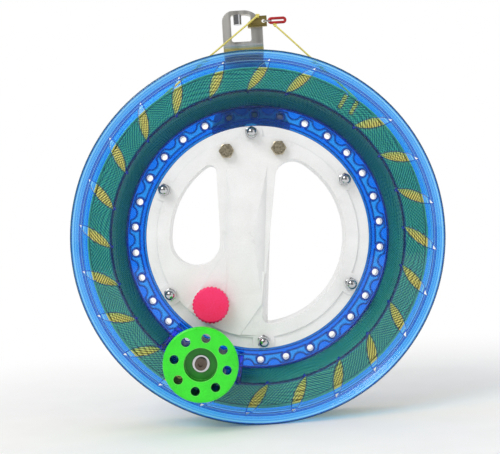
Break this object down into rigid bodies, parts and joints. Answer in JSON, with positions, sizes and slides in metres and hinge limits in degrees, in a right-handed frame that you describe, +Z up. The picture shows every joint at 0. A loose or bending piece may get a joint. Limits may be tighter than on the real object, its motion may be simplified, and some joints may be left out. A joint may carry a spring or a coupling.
{
  "type": "kite reel",
  "caption": "Hand-held kite line reel: a clear drum of line turns on bearings round a hub with a grip, with a winding knob, a brake knob and a line guide.",
  "frame": {"origin": "on the drum's spin axis at mid width, between the hand openings, where the grip is held", "axes": "+Y along the spin axis away from the user, +Z up through the line guide, +X to the user's right"},
  "size_m": [0.22, 0.0771, 0.2483],
  "materials": {
    "clear_blue": "clear blue moulded plastic",
    "line": "braided yellow kite line",
    "zinc_steel": "zinc plated",
    "dark_steel": "oiled dark",
    "brass": "turned",
    "green_plastic": "moulded, semi-gloss",
    "white_plastic": "moulded, semi-gloss",
    "chrome": "bright plated",
    "bearing_steel": "ground",
    "pink_plastic": "moulded, satin",
    "grey_plastic": "moulded, satin",
    "rubber": "matt",
    "guide_steel": "bent sheet, dull",
    "clip_brass": "aged",
    "red_cord": "braided"
  },
  "bodies": {
    "handle": {"hub_front": "white_plastic", "hub_rear": "white_plastic", "hub_bolts": "zinc_steel", "dome_nuts": "chrome", "bearing_inner_rings": "bearing_steel", "guide_arm": "guide_steel", "guide_bolts": "zinc_steel", "guide_nuts": "zinc_steel", "guide_post": "chrome", "clip_hook": "clip_brass", "clip_ring": "chrome", "clip_loop": "red_cord", "line_left": "line", "line_right": "line"},
    "drum": {"drum_front": "clear_blue", "drum_rear": "clear_blue", "line_core": "line", "line_turns": "line", "knob_sleeve": "zinc_steel", "knob_screw": "dark_steel", "knob_washer": "zinc_steel", "knob_insert": "brass"},
    "knob": {"winding_knob": "green_plastic"},
    "brake": {"brake_knob": "pink_plastic", "brake_spindle": "zinc_steel", "brake_cam": "brass"},
    "shoe": {"brake_shoe": "grey_plastic", "brake_pad": "rubber"},
    "roller_1": {"bearing_1": "bearing_steel"},
    "roller_2": {"bearing_2": "bearing_steel"},
    "roller_3": {"bearing_3": "bearing_steel"},
    "roller_4": {"bearing_4": "bearing_steel"},
    "roller_5": {"bearing_5": "bearing_steel"},
    "roller_6": {"bearing_6": "bearing_steel"}
  },
  "joints": [
    {"name": "drum_spin", "type": "hinge", "parent": "handle", "child": "drum", "pos_m": [0, 0, 0], "axis": [0, -1, 0], "continuous": true},
    {"name": "knob_spin", "type": "hinge", "parent": "drum", "child": "knob", "pos_m": [-0.03649, -0.035, -0.0695], "axis": [0, -1, 0], "continuous": true},
    {"name": "brake_turn", "type": "hinge", "parent": "handle", "child": "brake", "pos_m": [-0.02992, -0.018, -0.0383], "axis": [0, 1, 0], "range_deg": [0, 90]},
    {"name": "shoe_slide", "type": "slide", "parent": "handle", "child": "shoe", "axis": [-0.6157, 0, -0.788], "range_m": [0, 0.00121]},
    {"name": "roller_1_spin", "type": "hinge", "parent": "handle", "child": "roller_1", "pos_m": [0, 0, 0.062], "axis": [0, -1, 0], "continuous": true},
    {"name": "roller_2_spin", "type": "hinge", "parent": "handle", "child": "roller_2", "pos_m": [-0.05369, 0, 0.031], "axis": [0, -1, 0], "continuous": true},
    {"name": "roller_3_spin", "type": "hinge", "parent": "handle", "child": "roller_3", "pos_m": [-0.05369, 0, -0.031], "axis": [0, -1, 0], "continuous": true},
    {"name": "roller_4_spin", "type": "hinge", "parent": "handle", "child": "roller_4", "pos_m": [0, 0, -0.062], "axis": [0, -1, 0], "continuous": true},
    {"name": "roller_5_spin", "type": "hinge", "parent": "handle", "child": "roller_5", "pos_m": [0.05369, 0, -0.031], "axis": [0, -1, 0], "continuous": true},
    {"name": "roller_6_spin", "type": "hinge", "parent": "handle", "child": "roller_6", "pos_m": [0.05369, 0, 0.031], "axis": [0, -1, 0], "continuous": true}
  ],
  "couplings": [
    {"joint": "shoe_slide", "follows": "brake_turn", "m_per_rad": 0.000765},
    {"joint": "roller_1_spin", "follows": "drum_spin", "ratio": 10.569},
    {"joint": "roller_2_spin", "follows": "drum_spin", "ratio": 10.569},
    {"joint": "roller_3_spin", "follows": "drum_spin", "ratio": 10.569},
    {"joint": "roller_4_spin", "follows": "drum_spin", "ratio": 10.569},
    {"joint": "roller_5_spin", "follows": "drum_spin", "ratio": 10.569},
    {"joint": "roller_6_spin", "follows": "drum_spin", "ratio": 10.569}
  ]
}
